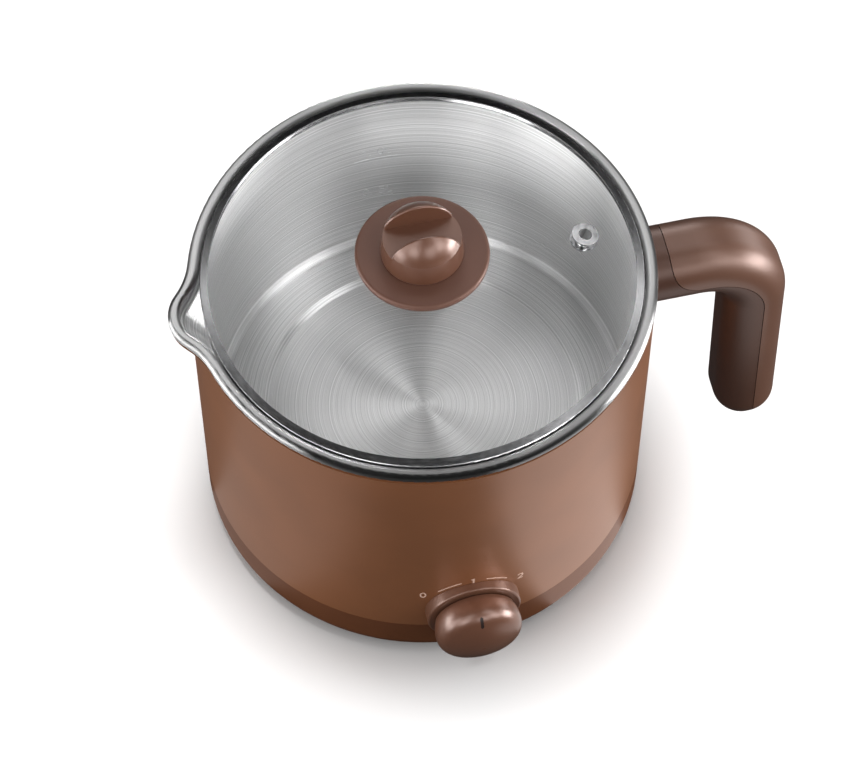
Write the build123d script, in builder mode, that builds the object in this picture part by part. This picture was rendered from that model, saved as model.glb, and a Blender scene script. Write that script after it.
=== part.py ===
from build123d import *
from math import acos, atan2, cos, degrees, radians, sin, sqrt, tan
import os

# Electric hot pot.  All lengths are millimetres, all angles degrees.
# Frame: z = 0 is the table, the Z axis is the pot's axis, +X points to the handle,
# -X to the pouring spout, -Y to the heat control and +Y to the power inlet.

# ------------------------------------------------------------------ driving dimensions
# inner pot and its rolled rim
floor_z = 44.8
rim_width = 4.4
rim_height = 4.2
rim_rounding = 1.7
pot_inner_radius = 80.0
pot_wall = 1.0
pot_depth = 94.2
floor_corner_radius = 4.5
floor_shelf_width = 19.0
floor_step_width = 2.6
floor_step_drop = 1.2
lid_seat_depth = 6.0
lid_seat_width = 1.8

# pouring spout: it stands out from the rim and fades into the wall below
spout_reach = 8.0
spout_tip_radius = 16.0
spout_blend_radius = 30.0
spout_drop = 17.0

# outer shell and base cover
shell_overhang = 0.4
shell_wall = 1.8
shell_lip_depth = 1.6
seal_thickness = 0.8
seal_width = 1.9
foot_height = 2.4
parting_z = 23.5
base_wall = 2.4
base_edge_radius = 7.5
spigot_height = 2.2
spigot_thickness = 1.5
spigot_depth = 3.0
foot_ring_inset = 22.8
foot_ring_width = 6.0
foot_groove_depth = 0.8
vent_count = 12
vent_circle_radius = 36.0
vent_length = 16.0
vent_width = 3.0

# screws that hold the base cover, in pillars of the cover and bosses of the shell
base_screw_count = 4
base_screw_edge_distance = 11.0
base_screw_angle = 22.5
base_screw_radius = 1.7
base_screw_head_radius = 3.2
base_screw_head_height = 2.2
base_screw_recess = 3.0
base_screw_grip = 7.0
pillar_radius = 4.6
boss_height = 9.0
boss_web = 3.6

# heating: spreader under the floor, sheathed element, heat shield on four studs
spreader_inset = 3.0
spreader_thickness = 4.0
element_edge_distance = 11.0
element_tube_radius = 3.2
element_sink = 2.0
element_gap_angle = 40.0
element_bend_radius = 7.0
element_pin_length = 5.0
stud_edge_distance = 11.0
stud_count = 4
stud_angle = 45.0
stud_radius = 2.0
nut_across_flats = 7.0
nut_height = 3.2
stud_length = 18.0
shield_drop = 13.0
shield_edge_inset = 3.0
shield_thickness = 0.8
shield_ear_gap = 3.0
shield_ear_width = 12.0
shield_hole_margin = 2.0
shield_window_length = 40.0
shield_window_width = 38.0
ledge_depth = 6.0
ledge_height = 5.0
thermostat_radius = 8.0
thermostat_height = 10.0
tab_width = 4.8
tab_thickness = 1.2
tab_length = 7.0
thermostat_tab_pitch = 9.0
fuse_radius = 2.0
fuse_length = 14.0
fuse_x = -24.0
fuse_wire_length = 3.0
clip_thickness = 0.8
clip_width = 7.0

# control on the front
control_z = 36.0
bezel_outer_radius = 18.1
bezel_height = 3.4
bezel_rounding = 0.9
knob_radius = 16.6
knob_base_radius = 15.4
knob_bulge_height = 6.1
knob_side_radius = 6.0
knob_projection = 14.8
knob_standoff = 0.6
knob_hub_radius = 6.0
pointer_inner = 11.4
pointer_outer = 15.6
pointer_width = 1.2
pointer_depth = 0.7
pointer_recess = 0.25
knob_cavity_radius = 13.4
knob_cavity_depth = 8.5
shaft_radius = 3.0
shaft_flat = 1.2
shaft_gap = 0.05
shaft_grip_length = 8.0
bushing_radius = 4.5
switch_width = 22.0
switch_height = 11.0
switch_depth = 14.0
switch_nut_flats = 12.0
switch_nut_height = 2.4
bushing_overhang = 0.6
shaft_inner_length = 9.0
switch_tab_pitch = 10.0
switch_tab_inset = 3.0
switch_tab_length = 6.0

# power inlet on the back
inlet_z = 34.0
inlet_width = 30.0
inlet_height = 16.0
inlet_depth = 24.0
inlet_socket_depth = 17.0
inlet_wall = 2.0
inlet_flange_width = 44.0
inlet_flange_height = 20.0
inlet_flange_thickness = 1.6
inlet_corner_radius = 3.0
inlet_pin_radius = 1.6
inlet_pin_pitch = 8.0
inlet_pin_reach = 9.0
inlet_tail_length = 3.5
inlet_tail_drop = 9.0
inlet_screw_pitch = 37.0
inlet_screw_radius = 1.4
inlet_screw_head_radius = 2.6
inlet_screw_head_height = 1.2
inlet_screw_length = 9.0

# wires inside the base
lead_radius = 1.2
lead_bend_radius = 4.5
lead_level = 13.0
earth_level = 18.0
live_lane_x = 34.0
live_lane_length = 74.0
live_lane_y = -3.0
switch_lane_shift = 5.0
switch_lane_y = 36.0
heater_lane_x = 12.0
heater_lane_y = 32.0
neutral_lane_x = 50.0
neutral_lane_y = 42.0
neutral_edge_x = 61.0
neutral_edge_y = 6.0
earth_run = 14.0

# hook handle
arm_drop = 24.5
handle_width = 28.6
handle_thickness = 24.5
handle_rounding = 11.6
handle_skin = 2.6
handle_bend_radius = 25.1
handle_reach = 43.1
grip_lean = 1.7
grip_end_z = 4.7
grip_end_rounding = 11.3
collar_length = 6.7
collar_curve_radius = 13.6
arm_parting = 2.4
grip_parting = 1.1
parting_bend_radius = 23.0
parting_gap = 0.3
bracket_width = 12.0
bracket_thickness = 2.5
bracket_foot_size = 15.0
bracket_foot_thickness = 3.0
bracket_drop = 26.0
handle_screw_pitch = 10.0
handle_screw_radius = 1.7
handle_screw_head_radius = 2.8
handle_screw_head_height = 1.7
handle_screw_length = 10.0

# glass lid
lid_gap = 0.4
lid_rest_gap = 0.3
band_thickness = 0.6
band_rounding = 0.5
band_reach = 3.0
glass_thickness = 4.0
glass_dome_height = 10.5
vent_edge_distance = 19.7
eyelet_outer_radius = 5.0
eyelet_hole_radius = 2.5
eyelet_thickness = 0.8
eyelet_wall = 0.5

# lid knob: round flange and split-dome grip
flange_radius = 24.5
flange_thickness = 3.2
flange_rounding = 1.3
grip_foot_radius = 15.2
grip_shoulder_radius = 14.2
grip_shoulder_height = 10.0
grip_crown_height = 10.0
grip_rounding = 0.8
slot_width = 12.4
slot_floor = 8.8
slot_rounding = 0.6
washer_radius = 11.0
washer_thickness = 1.4
lower_washer_radius = 7.5
lower_washer_thickness = 1.0
lid_screw_radius = 2.0
lid_screw_head_radius = 4.2
lid_screw_head_height = 2.2
insert_radius = 3.4
insert_length = 3.4

fit_gap = 0.1

# ------------------------------------------------------------------ derived sizes
mouth_radius = pot_inner_radius + lid_seat_width
rim_outer_radius = mouth_radius + rim_width
rim_top_z = floor_z + pot_depth
rim_bottom_z = rim_top_z - rim_height
seat_z = rim_top_z - lid_seat_depth
floor_step_radius = pot_inner_radius - floor_shelf_width
floor_underside_z = floor_z - pot_wall
spreader_radius = floor_step_radius - spreader_inset
spreader_top_z = floor_z - floor_step_drop - pot_wall
spreader_bottom_z = spreader_top_z - spreader_thickness
element_ring_radius = spreader_radius - element_edge_distance
element_z = spreader_bottom_z - element_tube_radius + element_sink
thermostat_tab_z = spreader_bottom_z - thermostat_height - tab_length
fuse_z = spreader_bottom_z - fuse_radius - fit_gap

shell_radius = rim_outer_radius - shell_overhang
shell_inner_radius = shell_radius - shell_wall
shell_top_z = rim_bottom_z - seal_thickness
base_bottom_z = foot_height
foot_ring_radius = shell_radius - foot_ring_inset
base_screw_circle_radius = shell_inner_radius - base_screw_edge_distance
base_floor_z = base_bottom_z + base_wall

stud_circle_radius = pot_inner_radius - stud_edge_distance
shield_top_z = floor_underside_z - shield_drop
shield_bottom_z = shield_top_z - shield_thickness
shield_radius = stud_circle_radius - shield_edge_inset
shield_ear_radius = shell_inner_radius - shield_ear_gap

switch_front_y = -sqrt((shell_inner_radius - fit_gap) ** 2 - (switch_width / 2) ** 2)
switch_back_y = switch_front_y + switch_depth
switch_tab_y = switch_back_y - switch_tab_inset
switch_tab_z = control_z - switch_height / 2 - switch_tab_length
bezel_face_y = -(shell_radius + bezel_height)
knob_base_y = bezel_face_y - knob_standoff
bushing_tip_y = bezel_face_y - switch_nut_height - bushing_overhang
hub_base_y = bushing_tip_y - knob_standoff
shaft_back_y = switch_front_y + shaft_inner_length

inlet_face_y = shell_radius + inlet_flange_thickness
inlet_back_y = inlet_face_y - inlet_depth
inlet_floor_y = inlet_face_y - inlet_socket_depth
inlet_tail_y = inlet_back_y - inlet_tail_length
inlet_tail_z = inlet_z - inlet_tail_drop

arm_z = rim_top_z - arm_drop
root_wall_x = shell_radius + handle_skin
grip_top_x = shell_radius + handle_reach
lean = radians(grip_lean)
bend_centre_x = grip_top_x - handle_bend_radius
bend_centre_z = arm_z - handle_bend_radius
bend_end_x = bend_centre_x + handle_bend_radius * cos(lean)
bend_end_z = bend_centre_z + handle_bend_radius * sin(lean)
grip_length = (bend_end_z - grip_end_z) / cos(lean) - handle_thickness / 2 * tan(lean)

band_outer_radius = mouth_radius - lid_gap
band_inner_radius = band_outer_radius - band_reach
band_bottom_z = seat_z + lid_rest_gap
glass_radius = band_outer_radius - band_thickness - fit_gap
vent_distance = glass_radius - vent_edge_distance
glass_curve_radius = (glass_radius**2 + glass_dome_height**2) / (2 * glass_dome_height)
edge_slope = glass_radius / (glass_curve_radius - glass_dome_height)
band_lip = band_thickness + fit_gap
glass_edge_z = band_bottom_z + band_lip + edge_slope * band_lip
glass_apex_z = glass_edge_z + glass_thickness + glass_dome_height
flange_bottom_z = glass_apex_z + washer_thickness
flange_top_z = flange_bottom_z + flange_thickness
grip_shoulder_z = flange_top_z + grip_shoulder_height
grip_top_z = grip_shoulder_z + grip_crown_height
slot_floor_z = flange_top_z + slot_floor
lower_washer_top_z = glass_apex_z - glass_thickness - fit_gap
lid_screw_head_top_z = lower_washer_top_z - lower_washer_thickness


def glass_height(radius):
    """Height of the lid glass's outer face at a distance from the axis."""
    centre_z = glass_apex_z - glass_curve_radius
    return centre_z + sqrt(glass_curve_radius**2 - radius**2)


def rim_outline(inset):
    """Plan outline of the mouth with its pouring spout, drawn `inset` inside the rim's edge."""
    ring = rim_outer_radius - inset
    tip = spout_tip_radius - inset
    blend = spout_blend_radius + inset
    tip_x = rim_outer_radius + spout_reach - spout_tip_radius
    blend_distance = rim_outer_radius + spout_blend_radius
    reach = spout_tip_radius + spout_blend_radius
    cosine = (blend_distance**2 + tip_x**2 - reach**2) / (2 * blend_distance * tip_x)
    half_angle = degrees(acos(cosine))
    blend_x = blend_distance * cos(radians(half_angle))
    blend_y = blend_distance * sin(radians(half_angle))
    tip_angle = degrees(acos((blend_x - tip_x) / reach))
    with BuildLine() as outline:
        CenterArc((0, 0), ring, half_angle - 180, 360 - 2 * half_angle)
        CenterArc((-blend_x, blend_y), blend, -half_angle, half_angle - tip_angle)
        CenterArc((-tip_x, 0), tip, 180 - tip_angle, 2 * tip_angle)
        CenterArc((-blend_x, -blend_y), blend, tip_angle, half_angle - tip_angle)
    return outline.wires()[0]


def spout_lobe(inset, top_z):
    """Slanted prism of the spout part of the outline, from top_z down into the wall."""
    shift = spout_reach + shell_wall
    length = sqrt(shift**2 + spout_drop**2)
    with BuildPart() as lobe:
        with BuildSketch(Plane.XY.offset(top_z)):
            make_face(rim_outline(inset))
            with Locations((-rim_outer_radius, 0)):
                Rectangle(rim_outer_radius / 2, rim_outer_radius, mode=Mode.INTERSECT)
        extrude(amount=length, dir=(shift, 0, -spout_drop))
    return lobe.part


def pot_profile(grow):
    """Half section of the pot's hollow, grown outwards by the sheet thickness."""
    top = rim_bottom_z + grow
    step_in = floor_step_radius - floor_step_width / 2
    step_out = floor_step_radius + floor_step_width / 2
    with BuildSketch(Plane.XZ) as profile:
        with BuildLine():
            Polyline(
                (0, floor_z - floor_step_drop - grow),
                (step_in, floor_z - floor_step_drop - grow),
                (step_out, floor_z - grow),
                (pot_inner_radius + grow, floor_z - grow),
                (pot_inner_radius + grow, seat_z - grow),
                (mouth_radius + grow, seat_z - grow),
                (mouth_radius + grow, top),
                (0, top),
                close=True,
            )
        make_face()
        corner = profile.vertices().sort_by_distance(Vector(pot_inner_radius, 0, floor_z))[0]
        fillet(corner, floor_corner_radius + grow)
    return profile.sketch


def polar_points(count, radius, start):
    """Points of a bolt circle in plan."""
    angles = [radians(start + 360 / count * index) for index in range(count)]
    return [(radius * cos(angle), radius * sin(angle)) for angle in angles]


def control_face(distance):
    """Plane across the control's axis, facing out, at a distance in front of the pot's axis."""
    return Plane((0, -distance, control_z), x_dir=(1, 0, 0), z_dir=(0, -1, 0))


def inlet_face(distance):
    """Plane across the inlet's axis, facing out of the back, at a distance from the pot's axis."""
    return Plane((0, distance, inlet_z), x_dir=(-1, 0, 0), z_dir=(0, 1, 0))


# ------------------------------------------------------------------ inner pot
# The rolled rim follows the mouth's outline and is rounded over its upper and outer edges.
with BuildPart() as rim_bead:
    with BuildSketch(Plane.XY.offset(rim_bottom_z)):
        make_face(rim_outline(0))
        make_face(rim_outline(rim_width), mode=Mode.SUBTRACT)
    extrude(amount=rim_height)
    fillet(rim_bead.edges().group_by(Axis.Z)[-1], rim_rounding)
    fillet(rim_bead.faces().sort_by(Axis.Z)[0].outer_wire().edges(), rim_rounding)

with BuildPart() as inner_pot:
    revolve(pot_profile(pot_wall), axis=Axis.Z)
    add(spout_lobe(rim_width - pot_wall, rim_bottom_z + pot_wall))
    add(rim_bead.part)
    revolve(pot_profile(0), axis=Axis.Z, mode=Mode.SUBTRACT)
    with BuildSketch(Plane.XY.offset(rim_bottom_z)):
        make_face(rim_outline(rim_width))
    extrude(amount=rim_height, mode=Mode.SUBTRACT)
    add(spout_lobe(rim_width + fit_gap, rim_bottom_z + pot_wall), mode=Mode.SUBTRACT)

# Threaded studs are welded under the floor, outside the spreader.
with BuildPart() as pot_studs:
    with BuildSketch(Plane.XY.offset(floor_underside_z - stud_length)):
        with Locations(*polar_points(stud_count, stud_circle_radius, stud_angle)):
            Circle(stud_radius)
    extrude(amount=stud_length)

# ------------------------------------------------------------------ rim seal and outer shell
seal_inset = rim_width - pot_wall - fit_gap
with BuildPart() as rim_seal:
    with BuildSketch(Plane.XY.offset(shell_top_z)):
        make_face(rim_outline(seal_inset - seal_width))
        make_face(rim_outline(seal_inset), mode=Mode.SUBTRACT)
    extrude(amount=seal_thickness)

with BuildPart() as outer_shell:
    with BuildSketch(Plane.XY.offset(parting_z)):
        Circle(shell_radius)
    extrude(amount=shell_top_z - parting_z)
    add(spout_lobe(shell_overhang, shell_top_z))
    # hollow below the lip that carries the rim seal
    with BuildSketch(Plane.XY.offset(parting_z)):
        Circle(shell_inner_radius)
    extrude(amount=shell_top_z - shell_lip_depth - parting_z, mode=Mode.SUBTRACT)
    add(spout_lobe(shell_overhang + shell_wall, shell_top_z - shell_lip_depth), mode=Mode.SUBTRACT)
    with BuildSketch(Plane.XY.offset(shell_top_z - shell_lip_depth)):
        make_face(rim_outline(seal_inset))
    extrude(amount=shell_lip_depth, mode=Mode.SUBTRACT)
    # ledges above the heat shield's ears
    with BuildSketch(Plane.XY.offset(shield_top_z + fit_gap)):
        with PolarLocations(shell_inner_radius - ledge_depth / 2, stud_count, stud_angle):
            Rectangle(ledge_depth + shell_wall, shield_ear_width)
    extrude(amount=ledge_height)
    # bosses for the base screws, each on a web from the wall
    boss_top_z = parting_z + boss_height
    web_bottom_z = parting_z + spigot_height + fit_gap
    with BuildSketch(Plane.XY.offset(parting_z)):
        with PolarLocations(base_screw_circle_radius, base_screw_count, base_screw_angle):
            Circle(pillar_radius)
    extrude(amount=boss_height)
    with BuildSketch(Plane.XY.offset(web_bottom_z)):
        web_length = shell_inner_radius + shell_wall / 2 - base_screw_circle_radius
        with PolarLocations(base_screw_circle_radius + web_length / 2, base_screw_count, base_screw_angle):
            Rectangle(web_length, boss_web)
    extrude(amount=boss_top_z - web_bottom_z)
    with BuildSketch(Plane.XY.offset(parting_z)):
        with PolarLocations(base_screw_circle_radius, base_screw_count, base_screw_angle):
            Circle(base_screw_radius + fit_gap)
    extrude(amount=boss_height, mode=Mode.SUBTRACT)
    # holes for the control's bushing, the inlet and its screws, and the handle's screws
    with BuildSketch(control_face(shell_radius)):
        Circle(bushing_radius + fit_gap)
    extrude(amount=-3 * shell_wall, mode=Mode.SUBTRACT)
    with BuildSketch(inlet_face(shell_radius)):
        Rectangle(inlet_width + 2 * fit_gap, inlet_height + 2 * fit_gap)
        with GridLocations(inlet_screw_pitch, 0, 2, 1):
            Circle(inlet_screw_radius + fit_gap)
    extrude(amount=-5 * shell_wall, mode=Mode.SUBTRACT)
    with BuildSketch(Plane.YZ.offset(shell_radius)):
        with Locations((0, arm_z)):
            with GridLocations(0, handle_screw_pitch, 1, 2):
                Circle(handle_screw_radius + fit_gap)
    extrude(amount=-2 * shell_wall, mode=Mode.SUBTRACT)

# ------------------------------------------------------------------ base cover
with BuildPart() as base_hollow:
    with BuildSketch(Plane.XY.offset(base_floor_z)):
        Circle(shell_radius - base_wall)
    extrude(amount=parting_z - base_floor_z)
    fillet(base_hollow.edges().sort_by(Axis.Z)[0], base_edge_radius - base_wall)

with BuildPart() as base_cover:
    with BuildSketch(Plane.XY.offset(base_bottom_z)):
        Circle(shell_radius)
    extrude(amount=parting_z - base_bottom_z)
    fillet(base_cover.edges().sort_by(Axis.Z)[0], base_edge_radius)
    add(base_hollow.part, mode=Mode.SUBTRACT)
    # spigot that enters the shell
    spigot_radius = shell_inner_radius - fit_gap
    with BuildSketch(Plane.XY.offset(parting_z - spigot_depth)):
        Circle(spigot_radius)
        Circle(spigot_radius - spigot_thickness, mode=Mode.SUBTRACT)
    extrude(amount=spigot_depth + spigot_height)
    # screw pillars
    with BuildSketch(Plane.XY.offset(base_bottom_z + base_wall / 2)):
        with PolarLocations(base_screw_circle_radius, base_screw_count, base_screw_angle):
            Circle(pillar_radius)
    extrude(amount=parting_z - base_bottom_z - base_wall / 2)
    with BuildSketch(Plane.XY.offset(base_bottom_z)):
        with PolarLocations(base_screw_circle_radius, base_screw_count, base_screw_angle):
            Circle(base_screw_radius + fit_gap)
    extrude(amount=parting_z, mode=Mode.SUBTRACT)
    with BuildSketch(Plane.XY.offset(base_bottom_z)):
        with PolarLocations(base_screw_circle_radius, base_screw_count, base_screw_angle):
            Circle(base_screw_head_radius + fit_gap)
    extrude(amount=base_screw_recess, mode=Mode.SUBTRACT)
    # groove for the foot ring and a circle of air slots
    with BuildSketch(Plane.XY.offset(base_bottom_z)):
        Circle(foot_ring_radius + foot_ring_width / 2)
        Circle(foot_ring_radius - foot_ring_width / 2, mode=Mode.SUBTRACT)
    extrude(amount=foot_groove_depth, mode=Mode.SUBTRACT)
    with BuildSketch(Plane.XY.offset(base_bottom_z)):
        with PolarLocations(vent_circle_radius, vent_count):
            SlotOverall(vent_length, vent_width)
    extrude(amount=base_wall, mode=Mode.SUBTRACT)

with BuildPart() as foot_ring:
    with BuildSketch(Plane.XY):
        Circle(foot_ring_radius + foot_ring_width / 2)
        Circle(foot_ring_radius - foot_ring_width / 2, mode=Mode.SUBTRACT)
    extrude(amount=foot_height + foot_groove_depth)
    fillet(foot_ring.edges().group_by(Axis.Z)[0], foot_groove_depth)

with BuildPart() as base_screws:
    with BuildSketch(Plane.XY.offset(base_bottom_z + base_screw_recess - base_screw_head_height)):
        with PolarLocations(base_screw_circle_radius, base_screw_count, base_screw_angle):
            Circle(base_screw_head_radius)
    extrude(amount=base_screw_head_height)
    with BuildSketch(Plane.XY.offset(base_bottom_z + base_screw_recess)):
        with PolarLocations(base_screw_circle_radius, base_screw_count, base_screw_angle):
            Circle(base_screw_radius)
    extrude(amount=parting_z + base_screw_grip - base_bottom_z - base_screw_recess)

# ------------------------------------------------------------------ heating
# Most of a ring, brazed into the spreader, with both ends turned down as terminals.
with BuildPart() as heating_element:
    half_gap = radians(element_gap_angle / 2)
    ring_end = Vector(element_ring_radius * cos(half_gap), element_ring_radius * sin(half_gap), element_z)
    run_out = Vector(sin(half_gap), -cos(half_gap), 0)
    pin_top = ring_end + run_out * element_bend_radius - Vector(0, 0, element_bend_radius)
    pin_end = pin_top - Vector(0, 0, element_pin_length)
    with BuildLine() as element_path:
        first_pin = Line(pin_end, pin_top)
        first_bend = TangentArc(pin_top, ring_end, tangent=(0, 0, 1))
        with BuildLine(Plane.XY.offset(element_z)):
            CenterArc((0, 0), element_ring_radius, element_gap_angle / 2, 360 - element_gap_angle)
        mirror_plane = Plane.XZ
        mirror(first_bend, about=mirror_plane)
        mirror(first_pin, about=mirror_plane)
    with BuildSketch(Plane(pin_end, z_dir=(0, 0, 1))):
        Circle(element_tube_radius)
    sweep(path=element_path.wires()[0])

with BuildPart() as heat_spreader:
    with BuildSketch(Plane.XY.offset(spreader_bottom_z)):
        Circle(spreader_radius)
    extrude(amount=spreader_thickness)
    with BuildSketch(Plane.XZ):
        with Locations((element_ring_radius, element_z)):
            Circle(element_tube_radius + fit_gap)
    revolve(axis=Axis.Z, mode=Mode.SUBTRACT)

with BuildPart() as thermostat:
    with BuildSketch(Plane.XY.offset(spreader_bottom_z - thermostat_height)):
        Circle(thermostat_radius)
    extrude(amount=thermostat_height)
    with BuildSketch(Plane.XY.offset(thermostat_tab_z)):
        with GridLocations(thermostat_tab_pitch, 0, 2, 1):
            Rectangle(tab_thickness, tab_width)
    extrude(amount=tab_length)

with BuildPart() as thermal_fuse:
    with BuildSketch(Plane((fuse_x, -fuse_length / 2, fuse_z), x_dir=(1, 0, 0), z_dir=(0, 1, 0))):
        Circle(fuse_radius)
    extrude(amount=fuse_length)
    fuse_reach = fuse_length / 2 + fuse_wire_length
    with BuildSketch(Plane((fuse_x, -fuse_reach, fuse_z), x_dir=(1, 0, 0), z_dir=(0, 1, 0))):
        Circle(lead_radius / 2)
    extrude(amount=2 * fuse_reach)

with BuildPart() as fuse_clip:
    with BuildSketch(Plane((fuse_x, -clip_width / 2, fuse_z), x_dir=(1, 0, 0), z_dir=(0, -1, 0))):
        clip_radius = fuse_radius + fit_gap
        Circle(clip_radius + clip_thickness)
        with Locations((0, clip_radius / 2)):
            Rectangle(2 * (clip_radius + clip_thickness), clip_radius)
        Circle(clip_radius, mode=Mode.SUBTRACT)
        with Locations((0, clip_radius / 2)):
            Rectangle(2 * clip_radius, clip_radius, mode=Mode.SUBTRACT)
        with Locations((0, 2 * clip_radius)):
            Rectangle(4 * clip_radius, 2 * clip_radius, mode=Mode.SUBTRACT)
    extrude(amount=-clip_width)

with BuildPart() as heat_shield:
    with BuildSketch(Plane.XY.offset(shield_bottom_z)):
        Circle(shield_radius)
        with PolarLocations(shield_ear_radius / 2, stud_count, stud_angle):
            Rectangle(shield_ear_radius, shield_ear_width)
        # openings for the studs, the element's pins, and the thermostat with its fuse
        with PolarLocations(stud_circle_radius, stud_count, stud_angle):
            Circle(stud_radius + fit_gap, mode=Mode.SUBTRACT)
        with Locations((pin_end.X, pin_end.Y), (pin_end.X, -pin_end.Y)):
            Circle(element_tube_radius + shield_hole_margin, mode=Mode.SUBTRACT)
        with Locations((fuse_x / 2 + shield_hole_margin, 0)):
            Rectangle(shield_window_length, shield_window_width, mode=Mode.SUBTRACT)
        # notches for the rotary switch in front and the inlet behind
        with Locations((0, switch_back_y + shield_hole_margin - shield_ear_radius / 2)):
            Rectangle(switch_width + 2 * shield_hole_margin, shield_ear_radius, mode=Mode.SUBTRACT)
        with Locations((0, inlet_tail_y - 2 * shield_hole_margin + shield_ear_radius / 2)):
            Rectangle(inlet_width + 2 * shield_hole_margin, shield_ear_radius, mode=Mode.SUBTRACT)
    extrude(amount=shield_thickness)

with BuildPart() as stud_nuts:
    with BuildSketch(Plane.XY.offset(shield_bottom_z - nut_height)):
        with PolarLocations(stud_circle_radius, stud_count, stud_angle):
            RegularPolygon(nut_across_flats / 2, 6, major_radius=False)
            Circle(stud_radius + shaft_gap, mode=Mode.SUBTRACT)
    extrude(amount=nut_height)

# ------------------------------------------------------------------ control
with BuildPart() as dial_bezel:
    with BuildSketch(control_face(-bezel_face_y)):
        Circle(bezel_outer_radius)
    extrude(amount=-bezel_outer_radius / 2)
    fillet(dial_bezel.edges().sort_by(Axis.Y)[0], bezel_rounding)
    with BuildSketch(Plane.XY):
        Circle(shell_radius + fit_gap)
    extrude(amount=rim_top_z, mode=Mode.SUBTRACT)
    with BuildSketch(control_face(-bezel_face_y)):
        Circle(bushing_radius + fit_gap)
    extrude(amount=-bezel_outer_radius / 2, mode=Mode.SUBTRACT)

with BuildPart() as rotary_switch:
    with BuildSketch(control_face(-switch_front_y)):
        Rectangle(switch_width, switch_height)
    extrude(amount=-switch_depth)
    with BuildSketch(control_face(-switch_front_y)):
        Circle(bushing_radius)
    extrude(amount=switch_front_y - bushing_tip_y)
    with BuildSketch(control_face(-bushing_tip_y)):
        Circle(shaft_radius + shaft_gap)
    extrude(amount=bushing_tip_y - shaft_back_y - shaft_gap, mode=Mode.SUBTRACT)
    with BuildSketch(Plane.XY.offset(switch_tab_z)):
        with Locations((0, switch_tab_y)):
            with GridLocations(switch_tab_pitch, 0, 2, 1):
                Rectangle(tab_thickness, tab_width)
    extrude(amount=switch_tab_length)

with BuildPart() as switch_nut:
    with BuildSketch(control_face(-bezel_face_y)):
        RegularPolygon(switch_nut_flats / 2, 6, major_radius=False)
        Circle(bushing_radius + shaft_gap, mode=Mode.SUBTRACT)
    extrude(amount=switch_nut_height)

with BuildPart() as switch_shaft:
    with BuildSketch(control_face(-shaft_back_y)):
        Circle(shaft_radius)
    extrude(amount=shaft_back_y - hub_base_y)
    with BuildSketch(control_face(-hub_base_y)):
        Circle(shaft_radius)
        with Locations((0, -2 * shaft_radius + shaft_flat)):
            Rectangle(2 * shaft_radius, 2 * shaft_radius, mode=Mode.SUBTRACT)
    extrude(amount=shaft_grip_length)


def knob_profile(inset):
    """Half section of the domed knob, inset all round: radius on x, distance from its base on y."""
    bulge = knob_radius - inset
    side = knob_side_radius - inset
    crown_height = knob_projection - knob_bulge_height - inset
    crown = (crown_height**2 + bulge**2 - 2 * bulge * side) / (2 * (crown_height - side))
    crown_centre = knob_bulge_height + crown_height - crown
    meeting_angle = degrees(atan2(knob_bulge_height - crown_centre, bulge - side))
    with BuildSketch(Plane((0, knob_base_y, control_z), x_dir=(1, 0, 0), z_dir=(0, 0, -1))) as profile:
        with BuildLine():
            Line((0, 0), (knob_base_radius - inset, 0))
            TangentArc((bulge, knob_bulge_height), (knob_base_radius - inset, 0), tangent=(0, -1))
            CenterArc((bulge - side, knob_bulge_height), side, 0, meeting_angle)
            CenterArc((0, crown_centre), crown, meeting_angle, 90 - meeting_angle)
            Line((0, crown_centre + crown), (0, 0))
        make_face()
    return profile.sketch


control_axis = Axis((0, 0, control_z), (0, -1, 0))
with BuildPart() as pointer_groove:
    revolve(knob_profile(0), axis=control_axis)
    revolve(knob_profile(pointer_depth), axis=control_axis, mode=Mode.SUBTRACT)
    with BuildSketch(control_face(-knob_base_y + knob_bulge_height)):
        with Locations((0, (pointer_inner + pointer_outer) / 2)):
            SlotOverall(pointer_outer - pointer_inner, pointer_width, rotation=90)
    extrude(amount=knob_projection, mode=Mode.INTERSECT)

with BuildPart() as knob_pointer:
    add(pointer_groove.part)
    revolve(knob_profile(pointer_recess), axis=control_axis, mode=Mode.INTERSECT)

with BuildPart() as control_knob:
    revolve(knob_profile(0), axis=control_axis)
    with BuildSketch(control_face(-knob_base_y)):
        Circle(knob_cavity_radius)
    extrude(amount=knob_cavity_depth, mode=Mode.SUBTRACT)
    with BuildSketch(control_face(-hub_base_y)):
        Circle(knob_hub_radius)
    extrude(amount=knob_cavity_depth)
    with BuildSketch(control_face(-hub_base_y)):
        Circle(shaft_radius + shaft_gap)
        with Locations((0, -2 * shaft_radius + shaft_flat - shaft_gap)):
            Rectangle(2 * shaft_radius, 2 * shaft_radius, mode=Mode.SUBTRACT)
    extrude(amount=shaft_grip_length + shaft_gap, mode=Mode.SUBTRACT)
    add(pointer_groove.part, mode=Mode.SUBTRACT)

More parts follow.
